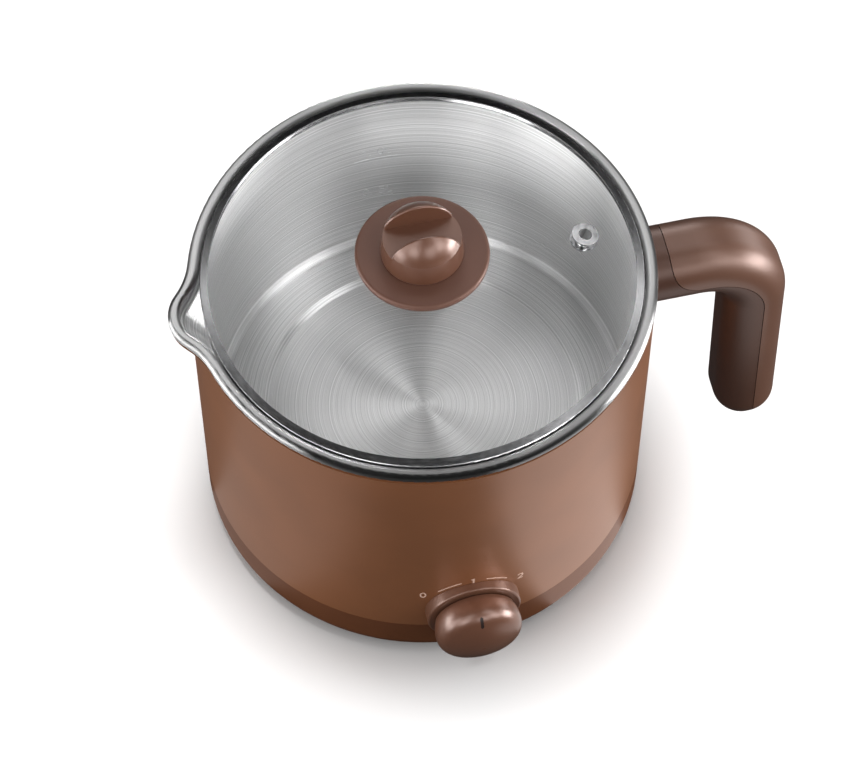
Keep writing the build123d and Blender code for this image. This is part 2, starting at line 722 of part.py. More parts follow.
# ------------------------------------------------------------------ power inlet
with BuildPart() as inlet_housing:
    with BuildSketch(inlet_face(inlet_face_y)):
        RectangleRounded(inlet_flange_width, inlet_flange_height, inlet_corner_radius)
    extrude(amount=-inlet_flange_height / 2)
    with BuildSketch(Plane.XY):
        Circle(shell_radius + fit_gap)
    extrude(amount=rim_top_z, mode=Mode.SUBTRACT)
    with BuildSketch(inlet_face(inlet_face_y)):
        Rectangle(inlet_width, inlet_height)
    extrude(amount=-inlet_depth)
    with BuildSketch(inlet_face(inlet_face_y)):
        socket_width = inlet_width - 2 * inlet_wall
        RectangleRounded(socket_width, inlet_height - 2 * inlet_wall, inlet_corner_radius)
    extrude(amount=-inlet_socket_depth, mode=Mode.SUBTRACT)
    with BuildSketch(inlet_face(inlet_floor_y)):
        with GridLocations(inlet_pin_pitch, 0, 3, 1):
            Circle(inlet_pin_radius + shaft_gap)
    extrude(amount=-inlet_depth, mode=Mode.SUBTRACT)
    with BuildSketch(inlet_face(inlet_face_y)):
        with GridLocations(inlet_screw_pitch, 0, 2, 1):
            Circle(inlet_screw_radius + fit_gap)
    extrude(amount=-inlet_depth, mode=Mode.SUBTRACT)
    with BuildSketch(inlet_face(inlet_face_y)):
        with GridLocations(inlet_screw_pitch, 0, 2, 1):
            Circle(inlet_screw_head_radius + fit_gap)
    extrude(amount=-inlet_screw_head_height, mode=Mode.SUBTRACT)

with BuildPart() as inlet_pins:
    with BuildSketch(inlet_face(inlet_floor_y + inlet_pin_reach)):
        with GridLocations(inlet_pin_pitch, 0, 3, 1):
            Circle(inlet_pin_radius)
    extrude(amount=-(inlet_floor_y + inlet_pin_reach - inlet_tail_y + inlet_pin_radius))
    with BuildSketch(Plane.XY.offset(inlet_tail_z)):
        with Locations((0, inlet_tail_y)):
            with GridLocations(inlet_pin_pitch, 0, 3, 1):
                Circle(inlet_pin_radius)
    extrude(amount=inlet_tail_drop)

with BuildPart() as inlet_screws:
    with BuildSketch(inlet_face(inlet_face_y)):
        with GridLocations(inlet_screw_pitch, 0, 2, 1):
            Circle(inlet_screw_head_radius)
    extrude(amount=-inlet_screw_head_height)
    with BuildSketch(inlet_face(inlet_face_y)):
        with GridLocations(inlet_screw_pitch, 0, 2, 1):
            Circle(inlet_screw_radius)
    extrude(amount=-inlet_screw_length)

# ------------------------------------------------------------------ wires in the base
# Each wire drops from its terminal to the level of the base, crosses it and rises again.
stud_x, stud_y = polar_points(stud_count, stud_circle_radius, stud_angle)[1]
fuse_end_y = fuse_length / 2 + fuse_wire_length
fuse_turn_y = fuse_end_y + lead_bend_radius + lead_radius
tab_x = thermostat_tab_pitch / 2
switch_tab_x = switch_tab_pitch / 2
pin_level = pin_end.Z
lead_routes = {
    "live_lead": [
        (-inlet_pin_pitch, inlet_tail_y, inlet_tail_z),
        (-inlet_pin_pitch, inlet_tail_y, lead_level),
        (-live_lane_x, live_lane_y + live_lane_length / 2, lead_level),
        (-live_lane_x, live_lane_y - live_lane_length / 2, lead_level),
        (-switch_tab_x, switch_tab_y, lead_level),
        (-switch_tab_x, switch_tab_y, switch_tab_z),
    ],
    "switch_lead": [
        (switch_tab_x, switch_tab_y, switch_tab_z),
        (switch_tab_x, switch_tab_y, lead_level),
        (switch_tab_x + switch_lane_shift, -switch_lane_y, lead_level),
        (tab_x, 0, lead_level),
        (tab_x, 0, thermostat_tab_z),
    ],
    "fuse_lead": [
        (-tab_x, 0, thermostat_tab_z),
        (-tab_x, 0, lead_level),
        (fuse_x, -fuse_turn_y, lead_level),
        (fuse_x, -fuse_turn_y, fuse_z),
        (fuse_x, -fuse_end_y, fuse_z),
    ],
    "heater_lead": [
        (fuse_x, fuse_end_y, fuse_z),
        (fuse_x, fuse_turn_y, fuse_z),
        (fuse_x, fuse_turn_y, lead_level),
        (heater_lane_x, heater_lane_y, lead_level),
        (pin_end.X, pin_end.Y, lead_level),
        (pin_end.X, pin_end.Y, pin_level),
    ],
    "neutral_lead": [
        (inlet_pin_pitch, inlet_tail_y, inlet_tail_z),
        (inlet_pin_pitch, inlet_tail_y, lead_level),
        (neutral_lane_x, neutral_lane_y, lead_level),
        (neutral_edge_x, neutral_edge_y, lead_level),
        (pin_end.X, -pin_end.Y, lead_level),
        (pin_end.X, -pin_end.Y, pin_level),
    ],
    "earth_lead": [
        (0, inlet_tail_y, inlet_tail_z),
        (0, inlet_tail_y, earth_level),
        (0, inlet_tail_y - earth_run, earth_level),
        (stud_x, stud_y, earth_level),
        (stud_x, stud_y, floor_underside_z - stud_length),
    ],
}
leads = {}
for lead_name, route in lead_routes.items():
    with BuildPart() as lead:
        with BuildLine() as lead_path:
            FilletPolyline(*route, radius=lead_bend_radius)
        with BuildSketch(Plane(lead_path.line @ 0, z_dir=lead_path.line % 0)):
            Circle(lead_radius)
        sweep(path=lead_path.wires()[0])
    leads[lead_name] = lead

# ------------------------------------------------------------------ handle
def handle_path(start_x, straight):
    """Centre line of the hook: level arm, bend, and a grip of the given straight length."""
    with BuildLine(Plane.XZ) as path:
        Line((start_x, arm_z), (bend_centre_x, arm_z))
        CenterArc((bend_centre_x, bend_centre_z), handle_bend_radius, 90, grip_lean - 90)
        grip_end = (bend_end_x + straight * sin(lean), bend_end_z - straight * cos(lean))
        Line((bend_end_x, bend_end_z), grip_end)
    return path.wires()[0]


def handle_solid(start_x, straight, inset):
    """Rounded section swept along the hook, drawn inside the handle's skin by `inset`."""
    path = handle_path(start_x, straight)
    with BuildPart() as solid:
        with BuildSketch(Plane((start_x, 0, arm_z), x_dir=(0, 1, 0), z_dir=(1, 0, 0))):
            width = handle_width - 2 * inset
            RectangleRounded(width, handle_thickness - 2 * inset, handle_rounding - inset)
        sweep(path=path)
    return solid.part


def inner_region(gap):
    """Block that holds the collar and the inner half of the hook, grown by the parting gap."""
    top = arm_z + handle_thickness
    collar_x = shell_radius + collar_length + gap
    level = arm_z - arm_parting + gap
    seam_x = bend_end_x + (grip_parting + gap) / cos(lean)
    corner_x = seam_x - (level - bend_end_z) * tan(lean)
    low_x = seam_x + (bend_end_z + handle_thickness) * tan(lean)
    low = (low_x, -handle_thickness)
    with BuildPart() as region:
        with BuildSketch(Plane.XZ):
            with BuildLine():
                FilletPolyline(
                    (collar_x, top),
                    (collar_x, level),
                    (corner_x, level),
                    low,
                    radius=[collar_curve_radius - gap, parting_bend_radius + gap],
                )
                Polyline(low, (0, -handle_thickness), (0, top), (collar_x, top))
            make_face()
        extrude(amount=handle_width, both=True)
    return region.part


with BuildPart() as handle_form:
    add(handle_solid(shell_inner_radius - shell_wall, grip_length, 0))
    grip_end_face = handle_form.faces().sort_by(Axis.Z)[0]
    fillet(grip_end_face.edges(), grip_end_rounding)
    with BuildSketch(Plane.XY):
        Circle(shell_radius + fit_gap)
    extrude(amount=rim_top_z, mode=Mode.SUBTRACT)
    add(handle_solid(root_wall_x, grip_length - grip_end_rounding, handle_skin), mode=Mode.SUBTRACT)
    with BuildSketch(Plane.YZ.offset(shell_radius - shell_wall)):
        with Locations((0, arm_z)):
            with GridLocations(0, handle_screw_pitch, 1, 2):
                Circle(handle_screw_radius + fit_gap)
    extrude(amount=shell_wall + handle_skin + fit_gap, mode=Mode.SUBTRACT)

with BuildPart() as handle_base:
    add(handle_form.part)
    add(inner_region(0), mode=Mode.INTERSECT)

with BuildPart() as handle_cover:
    add(handle_form.part)
    add(inner_region(parting_gap), mode=Mode.SUBTRACT)

with BuildPart() as handle_bracket:
    bracket_x = root_wall_x + fit_gap
    with BuildSketch(Plane((bracket_x, 0, arm_z), x_dir=(0, 1, 0), z_dir=(1, 0, 0))):
        Rectangle(bracket_foot_size, bracket_foot_size)
    extrude(amount=bracket_foot_thickness)
    with BuildSketch(Plane((bracket_x, 0, arm_z), x_dir=(0, 1, 0), z_dir=(1, 0, 0))):
        Rectangle(bracket_width, bracket_thickness)
    sweep(path=handle_path(bracket_x, bracket_drop))
    with BuildSketch(Plane((bracket_x, 0, arm_z), x_dir=(0, 1, 0), z_dir=(1, 0, 0))):
        with GridLocations(0, handle_screw_pitch, 1, 2):
            Circle(handle_screw_radius + fit_gap)
    extrude(amount=bracket_foot_thickness, mode=Mode.SUBTRACT)

with BuildPart() as handle_screws:
    head_x = shell_inner_radius - fit_gap
    with BuildSketch(Plane.YZ.offset(head_x)):
        with Locations((0, arm_z)):
            with GridLocations(0, handle_screw_pitch, 1, 2):
                Circle(handle_screw_head_radius)
    extrude(amount=-handle_screw_head_height)
    with BuildSketch(Plane.YZ.offset(head_x)):
        with Locations((0, arm_z)):
            with GridLocations(0, handle_screw_pitch, 1, 2):
                Circle(handle_screw_radius)
    extrude(amount=handle_screw_length)

# ------------------------------------------------------------------ lid
glass_slope = degrees(acos(sqrt(1 - (vent_distance / glass_curve_radius) ** 2)))
vent_plane = Plane(
    (vent_distance, 0, glass_height(vent_distance)),
    x_dir=(cos(radians(glass_slope)), 0, -sin(radians(glass_slope))),
    z_dir=(sin(radians(glass_slope)), 0, cos(radians(glass_slope))),
)
glass_at_vent = glass_thickness * cos(radians(glass_slope))

with BuildPart() as lid_glass:
    with BuildSketch(Plane.XZ):
        with BuildLine():
            edge_top_z = glass_edge_z + glass_thickness
            RadiusArc((0, glass_apex_z), (glass_radius, edge_top_z), glass_curve_radius)
            Line((glass_radius, edge_top_z), (glass_radius, glass_edge_z))
            lower_apex = (0, glass_apex_z - glass_thickness)
            RadiusArc((glass_radius, glass_edge_z), lower_apex, -glass_curve_radius)
            Line(lower_apex, (0, glass_apex_z))
        make_face()
    revolve(axis=Axis.Z)
    with BuildSketch(Plane.XY.offset(glass_edge_z)):
        Circle(lid_screw_radius + fit_gap)
    extrude(amount=glass_apex_z - glass_edge_z, mode=Mode.SUBTRACT)
    with BuildSketch(vent_plane):
        Circle(eyelet_hole_radius + eyelet_wall + fit_gap)
    extrude(amount=2 * glass_thickness, both=True, mode=Mode.SUBTRACT)



def band_line(radius, height):
    """Point of a line that runs parallel to the glass's slope at its edge."""
    return (radius, height + edge_slope * (glass_radius - radius))


# The band is a channel rolled round the glass's edge; its two lips follow the glass's slope.
with BuildPart() as lid_band:
    lower = glass_edge_z - band_lip
    upper = glass_edge_z + glass_thickness + band_lip
    with BuildSketch(Plane.XZ) as band_section:
        with BuildLine():
            Polyline(
                band_line(band_inner_radius, lower),
                band_line(band_outer_radius, lower),
                band_line(band_outer_radius, upper),
                band_line(band_inner_radius, upper),
                close=True,
            )
        make_face()
        fillet(band_section.vertices().group_by(Axis.X)[-1], band_rounding)
        with BuildLine():
            slot_inner_radius = band_inner_radius - band_thickness
            slot_outer_radius = glass_radius + fit_gap
            Polyline(
                band_line(slot_inner_radius, glass_edge_z - fit_gap),
                band_line(slot_outer_radius, glass_edge_z - fit_gap),
                band_line(slot_outer_radius, glass_edge_z + glass_thickness + fit_gap),
                band_line(slot_inner_radius, glass_edge_z + glass_thickness + fit_gap),
                close=True,
            )
        make_face(mode=Mode.SUBTRACT)
    revolve(axis=Axis.Z)

with BuildPart() as vent_eyelet:
    eyelet_tube_radius = eyelet_hole_radius + eyelet_wall
    lower_face = -glass_at_vent - fit_gap - eyelet_thickness
    with BuildSketch(vent_plane.offset(lower_face)):
        Circle(eyelet_tube_radius)
    extrude(amount=eyelet_thickness + fit_gap - lower_face)
    with BuildSketch(vent_plane.offset(fit_gap)):
        Circle(eyelet_outer_radius)
    extrude(amount=eyelet_thickness)
    with BuildSketch(vent_plane.offset(lower_face)):
        Circle(eyelet_outer_radius)
    extrude(amount=eyelet_thickness)
    with BuildSketch(vent_plane.offset(lower_face)):
        Circle(eyelet_hole_radius)
    extrude(amount=eyelet_thickness + fit_gap - lower_face, mode=Mode.SUBTRACT)

with BuildPart() as glass_cap:
    with BuildSketch(Plane.XZ):
        with BuildLine():
            cap_edge = (glass_radius, edge_top_z + fit_gap)
            cap_apex = (0, glass_apex_z + fit_gap)
            RadiusArc(cap_apex, cap_edge, glass_curve_radius)
            Polyline(cap_edge, (0, edge_top_z + fit_gap), cap_apex)
        make_face()
    revolve(axis=Axis.Z)

with BuildPart() as lid_washer:
    washer_bottom_z = glass_height(washer_radius) + fit_gap
    with BuildSketch(Plane.XY.offset(washer_bottom_z)):
        Circle(washer_radius)
        Circle(lid_screw_radius + fit_gap, mode=Mode.SUBTRACT)
    extrude(amount=flange_bottom_z - washer_bottom_z)
    add(glass_cap.part, mode=Mode.SUBTRACT)

with BuildPart() as lid_knob_flange:
    with BuildSketch(Plane.XY.offset(flange_bottom_z)):
        Circle(flange_radius)
    extrude(amount=flange_thickness)
    fillet(lid_knob_flange.edges().group_by(Axis.Z)[-1], flange_rounding)
    fillet(lid_knob_flange.edges().group_by(Axis.Z)[0], flange_rounding)
    with BuildSketch(Plane.XY.offset(flange_bottom_z)):
        Circle(lid_screw_radius + fit_gap)
    extrude(amount=flange_thickness, mode=Mode.SUBTRACT)

# The grip is a tapered drum under a low crown, and a slot along X splits the crown for the fingers.
with BuildPart() as lid_grip:
    crown_radius = (grip_crown_height**2 + grip_shoulder_radius**2) / (2 * grip_crown_height)
    with BuildSketch(Plane.XZ) as grip_section:
        with BuildLine():
            Polyline(
                (0, grip_top_z),
                (0, flange_top_z),
                (grip_foot_radius, flange_top_z),
                (grip_shoulder_radius, grip_shoulder_z),
            )
            RadiusArc((0, grip_top_z), (grip_shoulder_radius, grip_shoulder_z), crown_radius)
        make_face()
        fillet(grip_section.vertices().sort_by(Axis.X)[-1], grip_rounding)
    revolve(axis=Axis.Z)
    with BuildSketch(Plane.XY.offset(slot_floor_z)):
        Rectangle(3 * grip_foot_radius, slot_width)
    extrude(amount=grip_top_z - slot_floor_z, mode=Mode.SUBTRACT)
    slot_edges = lid_grip.faces().filter_by(Axis.Y).edges()
    fillet(
        slot_edges.filter_by_position(Axis.Z, slot_floor_z, grip_top_z, inclusive=(False, True)),
        slot_rounding,
    )
    with BuildSketch(Plane.XY.offset(flange_top_z)):
        Circle(insert_radius + shaft_gap)
    extrude(amount=insert_length + fit_gap, mode=Mode.SUBTRACT)

with BuildPart() as grip_insert:
    with BuildSketch(Plane.XY.offset(flange_top_z + fit_gap)):
        Circle(insert_radius)
        Circle(lid_screw_radius + shaft_gap, mode=Mode.SUBTRACT)
    extrude(amount=insert_length)

with BuildPart() as lower_washer:
    with BuildSketch(Plane.XY.offset(lid_screw_head_top_z)):
        Circle(lower_washer_radius)
        Circle(lid_screw_radius + fit_gap, mode=Mode.SUBTRACT)
    extrude(amount=lower_washer_thickness)

with BuildPart() as lid_screw:
    with BuildSketch(Plane.XY.offset(lid_screw_head_top_z)):
        Circle(lid_screw_radius)
    extrude(amount=flange_top_z + insert_length - lid_screw_head_top_z)
    with BuildSketch(Plane.XY.offset(lid_screw_head_top_z)):
        Circle(lid_screw_head_radius)
    extrude(amount=-lid_screw_head_height)

# ------------------------------------------------------------------ files, one for each piece
pieces = {
    "inner_pot": inner_pot,
    "pot_studs": pot_studs,
    "rim_seal": rim_seal,
    "outer_shell": outer_shell,
    "base_cover": base_cover,
    "foot_ring": foot_ring,
    "base_screws": base_screws,
    "heating_element": heating_element,
    "heat_spreader": heat_spreader,
    "thermostat": thermostat,
    "thermal_fuse": thermal_fuse,
    "fuse_clip": fuse_clip,
    "heat_shield": heat_shield,
    "stud_nuts": stud_nuts,
    "dial_bezel": dial_bezel,
    "rotary_switch": rotary_switch,
    "switch_nut": switch_nut,
    "switch_shaft": switch_shaft,
    "control_knob": control_knob,
    "knob_pointer": knob_pointer,
    "inlet_housing": inlet_housing,
    "inlet_pins": inlet_pins,
    "inlet_screws": inlet_screws,
    "handle_base": handle_base,
    "handle_cover": handle_cover,
    "handle_bracket": handle_bracket,
    "handle_screws": handle_screws,
    "lid_glass": lid_glass,
    "lid_band": lid_band,
    "vent_eyelet": vent_eyelet,
    "lid_washer": lid_washer,
    "lid_knob_flange": lid_knob_flange,
    "lid_grip": lid_grip,
    "grip_insert": grip_insert,
    "lower_washer": lower_washer,
    "lid_screw": lid_screw,
} | leads

os.makedirs("parts", exist_ok=True)
for name, piece in pieces.items():
    piece.part.label = name
    export_step(piece.part, f"parts/{name}.step")
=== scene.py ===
"""Looks of the electric hot pot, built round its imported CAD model."""
import math

import bmesh
import bpy
from mathutils import Matrix, Vector


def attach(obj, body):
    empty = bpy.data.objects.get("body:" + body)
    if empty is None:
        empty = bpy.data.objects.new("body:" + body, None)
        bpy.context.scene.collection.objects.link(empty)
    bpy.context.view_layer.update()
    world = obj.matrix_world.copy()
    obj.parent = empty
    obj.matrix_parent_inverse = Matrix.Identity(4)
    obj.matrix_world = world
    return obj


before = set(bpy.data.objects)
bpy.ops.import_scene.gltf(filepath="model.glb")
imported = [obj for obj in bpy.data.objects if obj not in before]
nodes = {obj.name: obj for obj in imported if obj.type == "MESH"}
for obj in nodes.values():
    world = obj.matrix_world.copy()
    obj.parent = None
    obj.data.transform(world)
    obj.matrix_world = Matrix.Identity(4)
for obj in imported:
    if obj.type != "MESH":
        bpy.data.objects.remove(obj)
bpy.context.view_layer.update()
scene = bpy.context.scene
scene.view_settings.view_transform = "Standard"

MM = 0.001

# ------------------------------------------------------------------ camera
# The photograph looks down on the pot, with the handle turned a little to the back.
ELEVATION = math.radians(59.19)
AZIMUTH = math.radians(-12.8)
DISTANCE = 1.16966
OFFSET_RIGHT = 0.00228
OFFSET_UP = -0.03961
AIM_HEIGHT = 0.137
SENSOR = 36.0
FOCAL_PIXELS = 3200.0
FRAME_PIXELS = 857.0

camera_data = bpy.data.cameras.new("camera")
camera_data.sensor_width = SENSOR
camera_data.lens = SENSOR * FOCAL_PIXELS / FRAME_PIXELS
camera_data.clip_start = 0.05
camera_data.clip_end = 20.0
camera = bpy.data.objects.new("camera", camera_data)
scene.collection.objects.link(camera)
turn = Matrix.Rotation(AZIMUTH, 3, "Z")
right = turn @ Vector((1, 0, 0))
forward = turn @ Vector((0, math.cos(ELEVATION), -math.sin(ELEVATION)))
above = right.cross(forward)
camera.location = (
    Vector((0, 0, AIM_HEIGHT)) - forward * DISTANCE + right * OFFSET_RIGHT + above * OFFSET_UP
)
camera.rotation_euler = (math.pi / 2 - ELEVATION, 0, AZIMUTH)
scene.camera = camera


# ------------------------------------------------------------------ node helpers
class Surface:
    """A node material with the few building blocks that every finish here shares."""

    def __init__(self, name):
        self.material = bpy.data.materials.new(name)
        self.material.use_nodes = True
        self.tree = self.material.node_tree
        self.shader = self.tree.nodes["Principled BSDF"]
        self.place = self.node("ShaderNodeTexCoord").outputs["Object"]

    def node(self, kind, **settings):
        made = self.tree.nodes.new(kind)
        for key, value in settings.items():
            setattr(made, key, value)
        return made

    def link(self, value, socket):
        if isinstance(value, bpy.types.NodeSocket):
            self.tree.links.new(value, socket)
        else:
            socket.default_value = value

    def set(self, **values):
        for key, value in values.items():
            self.link(value, self.shader.inputs[key.replace("_", " ")])
        return self

    def math(self, operation, *values):
        made = self.node("ShaderNodeMath", operation=operation)
        for index, value in enumerate(values):
            self.link(value, made.inputs[index])
        return made.outputs[0]

    def vector(self, operation, *values):
        made = self.node("ShaderNodeVectorMath", operation=operation)
        for index, value in enumerate(values):
            self.link(value, made.inputs[index])
        return made.outputs[1] if operation == "LENGTH" else made.outputs[0]

    def split(self, value):
        made = self.node("ShaderNodeSeparateXYZ")
        self.link(value, made.inputs[0])
        return made.outputs

    def join(self, x, y, z):
        made = self.node("ShaderNodeCombineXYZ")
        for index, value in enumerate((x, y, z)):
            self.link(value, made.inputs[index])
        return made.outputs[0]

    def noise(self, scale, stretch=(1, 1, 1), detail=2.0, rough=0.5):
        made = self.node("ShaderNodeTexNoise")
        self.link(self.vector("MULTIPLY", self.place, stretch), made.inputs["Vector"])
        made.inputs["Scale"].default_value = scale
        made.inputs["Detail"].default_value = detail
        made.inputs["Roughness"].default_value = rough
        return made.outputs["Fac"]

    def lines(self, value, pitch, detail=3.0):
        """Irregular lines along one measure, pitch apart."""
        made = self.node("ShaderNodeTexNoise", noise_dimensions="1D")
        self.link(self.math("DIVIDE", value, pitch), made.inputs["W"])
        made.inputs["Scale"].default_value = 1.0
        made.inputs["Detail"].default_value = detail
        return made.outputs["Fac"]

    def range(self, value, low, high, new_low, new_high, smooth=False):
        made = self.node("ShaderNodeMapRange")
        made.interpolation_type = "SMOOTHSTEP" if smooth else "LINEAR"
        for index, item in enumerate((value, low, high, new_low, new_high)):
            self.link(item, made.inputs[index])
        return made.outputs[0]

    def mix(self, share, first, second):
        made = self.node("ShaderNodeMix", data_type="RGBA")
        self.link(share, made.inputs[0])
        for value, socket in ((first, made.inputs[6]), (second, made.inputs[7])):
            if isinstance(value, tuple) and len(value) == 3:
                value = (*value, 1.0)
            self.link(value, socket)
        return made.outputs[2]

    def blend(self, share, first, second):
        made = self.node("ShaderNodeMix", data_type="FLOAT")
        for value, socket in ((share, 0), (first, 2), (second, 3)):
            self.link(value, made.inputs[socket])
        return made.outputs[0]

    def bump(self, height, depth, strength=1.0):
        made = self.node("ShaderNodeBump")
        made.inputs["Strength"].default_value = strength
        made.inputs["Distance"].default_value = depth
        self.link(height, made.inputs["Height"])
        self.link(made.outputs[0], self.shader.inputs["Normal"])
        return self


# Nearly all of a noise texture's values lie between these two.
NOISE_RANGE = (0.3, 0.7)


def give(surface, *names):
    """Puts a material on CAD nodes."""
    for name in names:
        slots = nodes[name].data.materials
        slots.clear()
        slots.append(surface.material)


def moulded(name, colour, roughness, grain=0.35 * MM, depth=0.02 * MM, spread=0.06, metal=0.0,
            gloss=0.5):
    """Moulded or painted brown finish: soft mottling, a fine grain and slightly uneven gloss."""
    s = Surface(name)
    cloud = s.noise(28.0, detail=3.0)
    speck = s.noise(1.0 / grain, detail=2.0, rough=0.6)
    dark = tuple(c * (1 - spread) for c in colour)
    light = tuple(min(1.0, c * (1 + spread)) for c in colour)
    s.set(Base_Color=s.mix(s.range(cloud, 0.35, 0.65, 0, 1), dark, light))
    s.set(Roughness=s.range(speck, *NOISE_RANGE, roughness - 0.03, roughness + 0.03))
    s.set(Metallic=metal, Specular_IOR_Level=gloss)
    s.bump(speck, depth, 0.5)
    return s


def brushed(name, colour, roughness, pitch=0.25 * MM, stretch=(1, 1, 12)):
    """Metal with fine parallel grain."""
    s = Surface(name)
    grain = s.noise(1.0 / pitch / 10, stretch=stretch, detail=4.0, rough=0.6)
    dark = tuple(c * 0.9 for c in colour)
    s.set(Base_Color=s.mix(grain, dark, colour), Metallic=1.0)
    s.set(Roughness=s.range(grain, *NOISE_RANGE, roughness - 0.05, roughness + 0.05))
    s.bump(grain, 0.01 * MM, 0.3)
    return s


# ------------------------------------------------------------------ finishes
SHELL_BROWN = (0.27, 0.102, 0.040)
shell = moulded("shell_paint", SHELL_BROWN, 0.44, metal=0.45, gloss=0.25)
shell.set(Coat_Weight=0.9, Coat_Roughness=0.42)
give(shell, "outer_shell")
# Painted shade: the base cover gets a darker copy of the shell's brown, which stands for the shade
# on the band under the rounded bottom.
base = moulded("base_plastic_painted_shade", (0.16, 0.056, 0.022), 0.46, metal=0.5, gloss=0.25)
base.set(Coat_Weight=0.4, Coat_Roughness=0.42)
give(base, "base_cover")
handle_light = moulded("handle_cover_plastic", (0.125, 0.056, 0.034), 0.42, metal=0.3, gloss=0.3)
handle_light.set(Coat_Weight=0.7, Coat_Roughness=0.40)
give(handle_light, "handle_cover")
# Painted shade: the handle's base half gets a darker copy of the cover's brown, which stands for
# the shadow on the handle's underside and inner grip face.
handle_base_painted_shade = moulded("handle_base_plastic_painted_shade", (0.078, 0.034, 0.021), 0.42, metal=0.3, gloss=0.3)
handle_base_painted_shade.set(Coat_Weight=0.5, Coat_Roughness=0.40)
give(handle_base_painted_shade, "handle_base")
knob = moulded("knob_plastic", (0.145, 0.060, 0.034), 0.36, metal=0.3)
knob.set(Coat_Weight=0.9, Coat_Roughness=0.30)
give(knob, "control_knob", "lid_grip")
flange = moulded("flange_plastic", (0.125, 0.058, 0.040), 0.40, metal=0.2, gloss=0.4)
give(flange, "lid_knob_flange")
bezel = moulded("bezel_plastic", (0.130, 0.056, 0.032), 0.36, metal=0.3)
bezel.set(Coat_Weight=0.4, Coat_Roughness=0.30)
give(bezel, "dial_bezel")
pointer = moulded("pointer_inlay", (0.02, 0.010, 0.008), 0.5)
give(pointer, "knob_pointer")

FLOOR_TOP = 46.5 * MM
RIM_LOW = 134.6 * MM
WALL_FADE = 3 * MM
RIM_FADE = 0.4 * MM
RING_PITCH = 0.5 * MM
BAND_PITCH = 0.8 * MM
GRAIN_DEPTH = 0.012 * MM
pot = Surface("pot_steel")
x, y, z = pot.split(pot.place)
radius = pot.vector("LENGTH", pot.join(x, y, 0.0))
on_wall = pot.range(z, FLOOR_TOP, FLOOR_TOP + WALL_FADE, 0, 1)
on_rim = pot.range(z, RIM_LOW, RIM_LOW + RIM_FADE, 0, 1)
rings = pot.lines(radius, RING_PITCH)
bands = pot.lines(z, BAND_PITCH)
grain = pot.blend(on_wall, rings, bands)
pot.set(Metallic=1.0, Anisotropic=0.95)
steel = pot.mix(pot.range(grain, *NOISE_RANGE, 0, 1), (0.50, 0.50, 0.50), (0.80, 0.80, 0.80))
pot.set(Base_Color=pot.mix(on_rim, steel, (0.58, 0.58, 0.58)))
satin = pot.range(grain, *NOISE_RANGE, 0.38, 0.44)
pot.set(Roughness=pot.blend(on_rim, satin, 0.36))
round_axis = pot.vector("NORMALIZE", pot.join(pot.math("MULTIPLY", y, -1.0), x, 0.0))
pot.set(Tangent=round_axis, Anisotropic_Rotation=0.25)
pot.bump(grain, GRAIN_DEPTH, 0.25)
give(pot, "inner_pot")

trim = brushed("trim_steel", (0.62, 0.62, 0.63), 0.22)
give(trim, "lid_band")
bright = brushed("bright_steel", (0.75, 0.75, 0.76), 0.12)
give(bright, "vent_eyelet", "lid_screw", "switch_shaft")
fasteners = brushed("fastener_steel", (0.45, 0.45, 0.46), 0.32)
give(fasteners, "base_screws", "pot_studs", "stud_nuts", "fuse_clip", "switch_nut")
give(fasteners, "inlet_screws", "handle_screws", "handle_bracket")

glass = Surface("clear_glass")
glass.set(Base_Color=(0.995, 0.995, 0.995, 1.0), Transmission_Weight=1.0, IOR=1.45)
haze = glass.noise(60.0, detail=2.0)
glass.set(Roughness=glass.range(haze, *NOISE_RANGE, 0.0, 0.012))
see_through = glass.node("ShaderNodeBsdfTransparent")
see_through.inputs[0].default_value = (0.97, 0.97, 0.97, 1.0)
path = glass.node("ShaderNodeLightPath")
either = glass.node("ShaderNodeMixShader")
out = glass.tree.nodes["Material Output"]
glass.link(path.outputs["Is Shadow Ray"], either.inputs[0])
glass.link(glass.shader.outputs[0], either.inputs[1])
glass.link(see_through.outputs[0], either.inputs[2])
glass.link(either.outputs[0], out.inputs["Surface"])
give(glass, "lid_glass")

silicone = moulded("seal_silicone", (0.035, 0.028, 0.026), 0.5)
give(silicone, "rim_seal", "lid_washer", "lower_washer")
rubber = moulded("foot_rubber", (0.02, 0.02, 0.02), 0.7)
give(rubber, "foot_ring")
cast = moulded("spreader_aluminium", (0.62, 0.62, 0.63), 0.45, metal=1.0)
give(cast, "heat_spreader")
sheet = brushed("shield_aluminium", (0.60, 0.60, 0.60), 0.35)
give(sheet, "heat_shield")
sheath = brushed("element_steel", (0.32, 0.30, 0.28), 0.4)
give(sheath, "heating_element")
pale = moulded("thermostat_body", (0.66, 0.63, 0.55), 0.5)
give(pale, "thermostat")
black = moulded("switch_plastic", (0.012, 0.012, 0.012), 0.45)
give(black, "rotary_switch")
inlet = moulded("inlet_plastic", (0.010, 0.010, 0.010), 0.40)
give(inlet, "inlet_housing")
brass = brushed("terminal_brass", (0.60, 0.42, 0.18), 0.25)
give(brass, "thermal_fuse", "inlet_pins", "grip_insert")
PALE_WIRE = (0.62, 0.58, 0.52)
for wire, colour in (
    ("live_lead", (0.10, 0.035, 0.012)),
    ("neutral_lead", (0.015, 0.05, 0.24)),
    ("earth_lead", (0.11, 0.24, 0.02)),
    ("switch_lead", PALE_WIRE),
    ("fuse_lead", PALE_WIRE),
    ("heater_lead", PALE_WIRE),
):
    give(moulded(wire + "_insulation", colour, 0.45), wire)

# ------------------------------------------------------------------ printed and etched marks
SHELL_RADIUS = 85.8
CONTROL_HEIGHT = 36.0
INNER_RADIUS = 80.0


def bow(centre, radii, start, end, steps=14):
    """Points of an elliptical arc; angles in degrees, anticlockwise from the right."""
    points = []
    for step in range(steps + 1):
        angle = math.radians(start + (end - start) * step / steps)
        across = centre[0] + radii[0] * math.cos(angle)
        points.append((across, centre[1] + radii[1] * math.sin(angle)))
    return points


